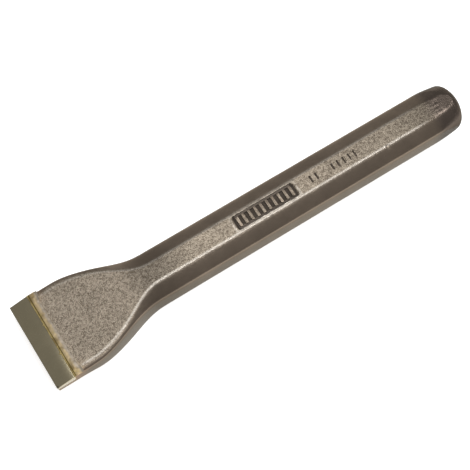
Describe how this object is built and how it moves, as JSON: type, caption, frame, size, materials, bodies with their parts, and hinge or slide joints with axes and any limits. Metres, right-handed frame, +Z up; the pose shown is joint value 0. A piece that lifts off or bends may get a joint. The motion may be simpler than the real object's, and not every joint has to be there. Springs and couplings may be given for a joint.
{
  "type": "carbide-tipped flat chisel",
  "caption": "Hand chisel struck with a hammer: octagonal forged bar with a crowned head, spread into a flat blade with a brazed carbide cutting bar.",
  "frame": {"origin": "on the resting surface, under the middle of the tool's length and width", "axes": "+X from the cutting edge to the struck head, +Y across the blade, +Z up from the resting flat to the face that carries the marking panel"},
  "size_m": [0.22, 0.04, 0.0223],
  "materials": {
    "forged_steel": "drop-forged, shot-blasted flats with a fine grain, darker smooth chamfers, bright worn ridges",
    "carbide": "ground tungsten carbide, satin olive grey",
    "braze": "pale gold braze, dull, with heat tint at its ends"
  },
  "bodies": {
    "root": {"forged_body": "forged_steel", "carbide_tip": "carbide", "braze_seam": "braze"}
  },
  "joints": []
}
